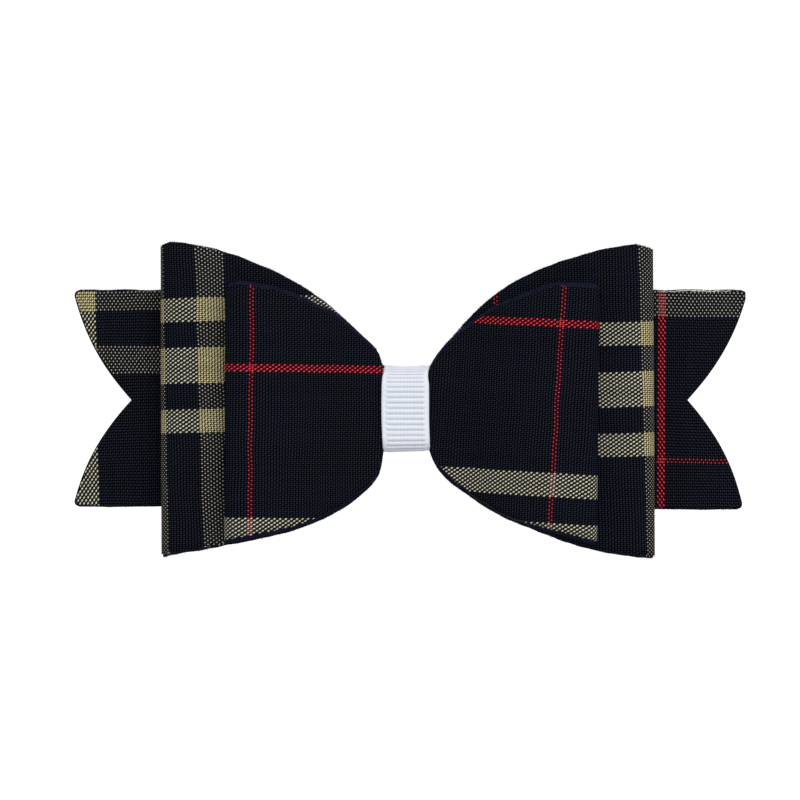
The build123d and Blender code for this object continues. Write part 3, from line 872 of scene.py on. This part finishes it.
def rounded_loop(corners, spacing):
    """Closed path through (y, z, radius) corners: straight runs and arcs, sampled evenly."""
    count = len(corners)
    ys, zs = [], []
    for k in range(count):
        before, here, after = (np.array(corners[(k + d) % count][:2]) for d in (-1, 0, 1))
        radius = corners[k][2]
        one = (before - here) / np.linalg.norm(before - here)
        two = (after - here) / np.linalg.norm(after - here)
        half = math.acos(float(np.clip(one @ two, -1, 1))) / 2
        back = radius / math.tan(half)
        centre = here + (one + two) / np.linalg.norm(one + two) * radius / math.sin(half)
        start, end = here + one * back - centre, here + two * back - centre
        sweep_angle = math.atan2(start[0] * end[1] - start[1] * end[0], float(start @ end))
        for turn in np.linspace(0, sweep_angle, 16):
            c, n = math.cos(turn), math.sin(turn)
            ys.append(centre[0] + c * start[0] - n * start[1])
            zs.append(centre[1] + n * start[0] + c * start[1])
    ys, zs = np.append(ys, ys[0]), np.append(zs, zs[0])
    along = np.append(0, np.cumsum(np.hypot(np.diff(ys), np.diff(zs))))
    s = np.linspace(0, along[-1], int(along[-1] / spacing), endpoint=False)
    y, z = np.interp(s, along, ys), np.interp(s, along, zs)
    dy = np.gradient(np.concatenate([y[-1:], y, y[:1]]))[1:-1]
    dz = np.gradient(np.concatenate([z[-1:], z, z[:1]]))[1:-1]
    size = np.hypot(dy, dz)
    ny, nz = -dz / size, dy / size
    if (ny * (y - y.mean()) + nz * (z - z.mean())).mean() < 0:
        ny, nz = -ny, -nz
    return s, y, z, ny, nz, along[-1]


def centre_wrap():
    """Ribbed ribbon round the stack: it rolls away over the top and its edges are drawn in."""
    low, high = WRAP_LOW, WRAP_HIGH
    front, top, bottom = low[1] + RIBBON, high[2] - RIBBON, low[2] + RIBBON
    shoulder_y = WRAP_BACK_Y - 0.55
    corners = [
        (front, bottom, 2.4), (front, top, 4.4), (shoulder_y, top, 0.4),
        (WRAP_BACK_Y, 4.4, 1.0), (WRAP_BACK_Y, -4.4, 1.0), (shoulder_y, bottom, 0.4),
    ]
    s, y, z, ny, nz, length = rounded_loop(corners, RIBBON_GRID)
    half = (high[0] - low[0]) / 2
    up = np.clip(z / high[2], -1, 1)
    shown = np.clip((-1 - y) / 3, 0, 1)               # the back stays straight
    crowded = 1 + shown * np.where(up > 0, 0.9 * up ** 3, 0.7 * up ** 6)
    phase = np.append(0, np.cumsum(crowded[:-1])) / np.sum(crowded)
    ribs = round(np.mean(crowded) * length / RIB_PITCH)
    rib = (0.5 - 0.5 * np.cos(2 * math.pi * phase * ribs)) ** 0.8 / crowded
    left = low[0] + shown * np.where(up > 0, 0.75 * up ** 4, 0.35 * up ** 2)
    nipped = 0.25 * np.exp(-((up - 0.75) / 0.15) ** 2)
    right = high[0] + shown * np.where(up > 0, 0.45 * up ** 8 - nipped, 0.25 * up ** 2)
    dip = -0.50 * np.clip(up, 0, 1) ** 6              # the middle of the top edge is pulled down
    sag = -0.40 * np.clip(-up, 0, 1) ** 6 * shown     # and the left of the bottom edge hangs lower
    outer, inner, uvs = [], [], []
    for share in np.linspace(0, 1, 41):
        edge = min(share, 1 - share) * 2 * half
        across = (2 * share - 1) * half
        selvedge = 0.15 + 0.85 * np.clip((SELVEDGE_AT + 0.15 - abs(across)) / 0.35, 0, 1)
        nip = np.clip(edge / RIBBON_EDGE, 0, 1) ** 0.5
        height = RIBBON * (0.45 + 0.25 * nip) + RIB_RISE * selvedge * rib * nip
        x = left + share * (right - left)
        drop = dip * (1 - (2 * share - 1) ** 2) + sag * (1 - share)
        outer.append(np.stack([x, y + ny * height, z + nz * height + drop], axis=-1))
        inner.append(np.stack([x, y, z + drop], axis=-1))
        uvs.append(np.stack([phase * ribs * RIB_PITCH, np.full_like(s, across)], axis=-1))
    outer, inner, uvs = (np.stack(v, axis=1) for v in (outer, inner, uvs))
    rows, cols = outer.shape[:2]
    count, last = rows * cols, cols - 1
    faces = grid_faces(rows, cols, 0, True, wrap=True) + grid_faces(rows, cols, count, False, wrap=True)
    for i in range(rows):
        a, b = i * cols, (i + 1) % rows * cols
        faces.append((b, count + b, count + a, a))
        faces.append((count + a + last, count + b + last, b + last, a + last))
    points = np.vstack([outer.reshape(-1, 3), inner.reshape(-1, 3)])
    obj = make_mesh("centre_wrap_grosgrain", points, faces, np.vstack([uvs.reshape(-1, 2)] * 2))
    dress(obj, grosgrain, "bow", "white_grosgrain", "centre_wrap")


centre_wrap()

# ---------------------------------------------------------------- thread, glue, lining

def binding_thread():
    """Four turns of two-ply thread pulled tight round the stack, inside the wrap."""
    low, high = cad("binding_thread")
    thread_r, pitch, turns = 0.21, 0.92, 4
    back, front = high[1] - thread_r, low[1] + thread_r
    top, bottom = high[2] - thread_r, low[2] + thread_r
    step_y = -4.75                                    # the small loops in front of it are narrower
    corner_z = top - 2.6
    bend = 0.3
    corners = [
        (back, bottom, bend), (step_y, bottom, bend), (front, -corner_z, bend),
        (front, corner_z, bend), (step_y, top, bend), (back, top, bend),
    ]
    s, y, z, _, _, length = rounded_loop(corners, 0.16)
    path = []
    for turn in range(turns):
        x = (turn - turns / 2 + s / length) * pitch
        path += list(np.stack([x, y + 0.03 * np.sin(s * 2.1 + turn), z], axis=-1))
    obj = tube("binding_thread_twisted", path, thread_r, ply=0.12, ply_pitch=1.3)
    dress(obj, thread, "bow", "navy_thread", "binding_thread")


def glue_pads():
    """Two pads of set glue, squeezed out unevenly round the edge."""
    low, high = cad("glue_pads")
    half_length, half_height = 7.0, (high[2] - low[2]) / 2
    points, faces = [], []
    rings, turns = 5, 64
    for pad_x in (-12.8, 12.2):
        base = len(points)
        for ring in range(rings):
            level = ring / (rings - 1)
            swell = 0.94 + 0.06 * math.sin(math.pi * level)
            for turn in range(turns):
                angle = 2 * math.pi * turn / turns
                c, n = math.cos(angle), math.sin(angle)
                ragged = 0.35 * noise.noise(Vector((3 * c + pad_x, 3 * n, level)))
                points.append((
                    pad_x + (half_length - half_height) * np.sign(c) * min(1, abs(c) * 4)
                    + (half_height + ragged) * swell * c,
                    low[1] + (high[1] - low[1]) * level,
                    (half_height + ragged) * swell * n,
                ))
        for ring in range(rings - 1):
            for turn in range(turns):
                after = (turn + 1) % turns
                a, b = base + ring * turns, base + (ring + 1) * turns
                faces.append((b + turn, b + after, a + after, a + turn))
        faces.append(tuple(base + turn for turn in range(turns)))
        faces.append(tuple(base + (rings - 1) * turns + turn for turn in range(turns))[::-1])
    obj = make_mesh("glue_pads_set", points, faces, smooth=False)
    dress(obj, glue, "bow", "hot_melt_glue", "glue_pads")


def ribbon_strip(name, start, end, half_width, lift):
    """A flat ribbed strip: start and end are (x, y, z) on its underside, lift is its outward direction."""
    start, end, lift = (np.array(v, dtype=float) for v in (start, end, lift))
    length = np.linalg.norm(end - start)
    across = np.cross(lift, (end - start) / length)
    s = np.linspace(0, length, int(length / RIBBON_GRID))
    share = np.linspace(-1, 1, 21)
    rib = 0.5 - 0.5 * np.cos(2 * math.pi * s / RIB_PITCH)
    edge = np.clip((1 - np.abs(share)) * half_width / RIBBON_EDGE, 0, 1) ** 0.5
    height = RIBBON * (0.45 + 0.25 * edge)[None, :] + 0.15 * rib[:, None] * edge[None, :]
    line = start + (end - start) * (s / length)[:, None]
    inner = line[:, None, :] + across * (share * half_width)[None, :, None]
    outer = inner + lift * height[..., None]
    uv = np.stack(np.broadcast_arrays(s[:, None], (share * half_width)[None, :]), axis=-1)
    return thin_solid(name, outer, inner, uv, 0.04)


def lining_and_lap():
    """Ribbon along the plate's gripping side, and the wrap's end lapped over on the back."""
    low, high = cad("clip_lining")
    start, end = (low[0], low[1], 0), (high[0], low[1], 0)
    strip = ribbon_strip("clip_lining_grosgrain", start, end, high[2], (0, 1, 0))
    dress(strip, grosgrain, "bow", "white_grosgrain", "clip_lining")
    middle_x = (WRAP_LOW[0] + WRAP_HIGH[0]) / 2
    half = (WRAP_HIGH[0] - WRAP_LOW[0]) / 2 - 0.05
    lap_y, lap_low, lap_high = WRAP_BACK_Y + RIBBON, -3.5, 3.2
    start, end = (middle_x, lap_y, lap_low), (middle_x, lap_y, lap_high)
    lap = ribbon_strip("centre_wrap_lap", start, end, half, (0, 1, 0))
    dress(lap, grosgrain, "bow", "white_grosgrain")


# ---------------------------------------------------------------- clip

def clip_spring():
    """Torsion spring on the pin: its upper leg bears on the lever, its lower one on the plate."""
    low, high = cad("clip_pin")
    pin_x, pin_y = (low[0] + high[0]) / 2, (low[1] + high[1]) / 2
    coil_r, wire_r, pitch, leg = 1.9, 0.3, 0.7, 7.0
    tab_leg, plate_leg = math.radians(14), math.radians(-7)
    first = math.pi / 2 + tab_leg
    turns = 3 + (math.pi + plate_leg - tab_leg) / (2 * math.pi)
    half = turns * pitch / 2
    last = first + 2 * math.pi * turns

    def wire(angle, z, reach=0.0, heading=0.0):
        """A point of the coil at that angle, or of a leg that leaves it there towards heading."""
        x = pin_x + coil_r * math.cos(angle) + reach * math.cos(heading)
        y = pin_y + coil_r * math.sin(angle) + reach * math.sin(heading)
        return x, y, z

    path = [wire(first, -half, leg * share, tab_leg) for share in np.linspace(1, 0, 24, endpoint=False)]
    for share in np.linspace(0, 1, 180):
        path.append(wire(first + 2 * math.pi * turns * share, -half + 2 * half * share))
    path += [wire(last, half, leg * share, plate_leg) for share in np.linspace(0, 1, 25)[1:]]
    spring = tube("clip_spring_wire", path, wire_r, sides=12)
    spring.data.materials.append(spring_wire)
    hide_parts("clip_spring")
    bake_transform(spring)


def clip_metal():
    """The stamped parts keep their CAD shape; only their finish is made here."""
    for node in ("clip_base", "clip_lever", "clip_pin"):
        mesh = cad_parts[node].data
        mesh.materials.clear()
        mesh.materials.append(nickel)


binding_thread()
glue_pads()
lining_and_lap()
clip_spring()
clip_metal()

# ---------------------------------------------------------------- stage

def stage():
    """Pale floor, bright surroundings, and soft lights above, at both sides and behind."""
    bpy.ops.mesh.primitive_plane_add(size=6.0, location=(0, 0, FLOOR_Z))
    floor = bpy.context.object
    floor.name = "floor"
    graph = Graph("pale_floor")
    tone = graph.noise(graph.place(), 3.0, 2.0)
    colour = graph.mix(tone, (0.62, 0.62, 0.62, 1), (0.66, 0.66, 0.66, 1))
    graph.paint(colour)
    seen = graph.node("LightPath").outputs["Is Camera Ray"]
    graph.put(graph.shader.inputs["Emission Strength"], graph.times(seen, 0.85))
    floor.data.materials.append(graph.finish(0.9, 0.0, Emission_Color=(1, 1, 1, 1)))

    world = bpy.data.worlds.new("surround")
    bpy.context.scene.world = world
    world.use_nodes = True
    tree = world.node_tree
    tree.nodes.clear()
    output = tree.nodes.new("ShaderNodeOutputWorld")
    path, mix = tree.nodes.new("ShaderNodeLightPath"), tree.nodes.new("ShaderNodeMixShader")
    tree.links.new(path.outputs["Is Camera Ray"], mix.inputs[0])
    for socket, strength in ((mix.inputs[1], 0.50), (mix.inputs[2], 1.1)):     # as light, and as seen
        surround = tree.nodes.new("ShaderNodeBackground")
        surround.inputs["Color"].default_value = (1, 1, 1, 1)
        surround.inputs["Strength"].default_value = strength
        tree.links.new(surround.outputs[0], socket)
    tree.links.new(mix.outputs[0], output.inputs[0])

    for name, (place, size, watts) in LIGHTS.items():
        light = bpy.data.lights.new(name, "AREA")
        light.shape = "DISK"
        light.size = size
        light.energy = watts
        obj = bpy.data.objects.new(name, light)
        obj.location = place
        obj.rotation_euler = (-Vector(place)).to_track_quat("-Z", "Y").to_euler()
        bpy.context.collection.objects.link(obj)


def camera():
    """Straight at the bow's face, with a long lens: FRAME_WIDTH of the bow's plane fills the frame."""
    data = bpy.data.cameras.new("camera")
    data.lens = 180.0
    data.sensor_width = 36.0
    data.clip_start = 0.01
    obj = bpy.data.objects.new("camera", data)
    distance = FRAME_WIDTH * data.lens / data.sensor_width
    obj.location = (CAMERA_AIM[0], CAMERA_AIM[1] - distance, CAMERA_AIM[2])
    obj.rotation_euler = (math.pi / 2, 0, 0)
    bpy.context.collection.objects.link(obj)
    bpy.context.scene.camera = obj


stage()
camera()
bpy.context.scene.view_settings.view_transform = "Standard"
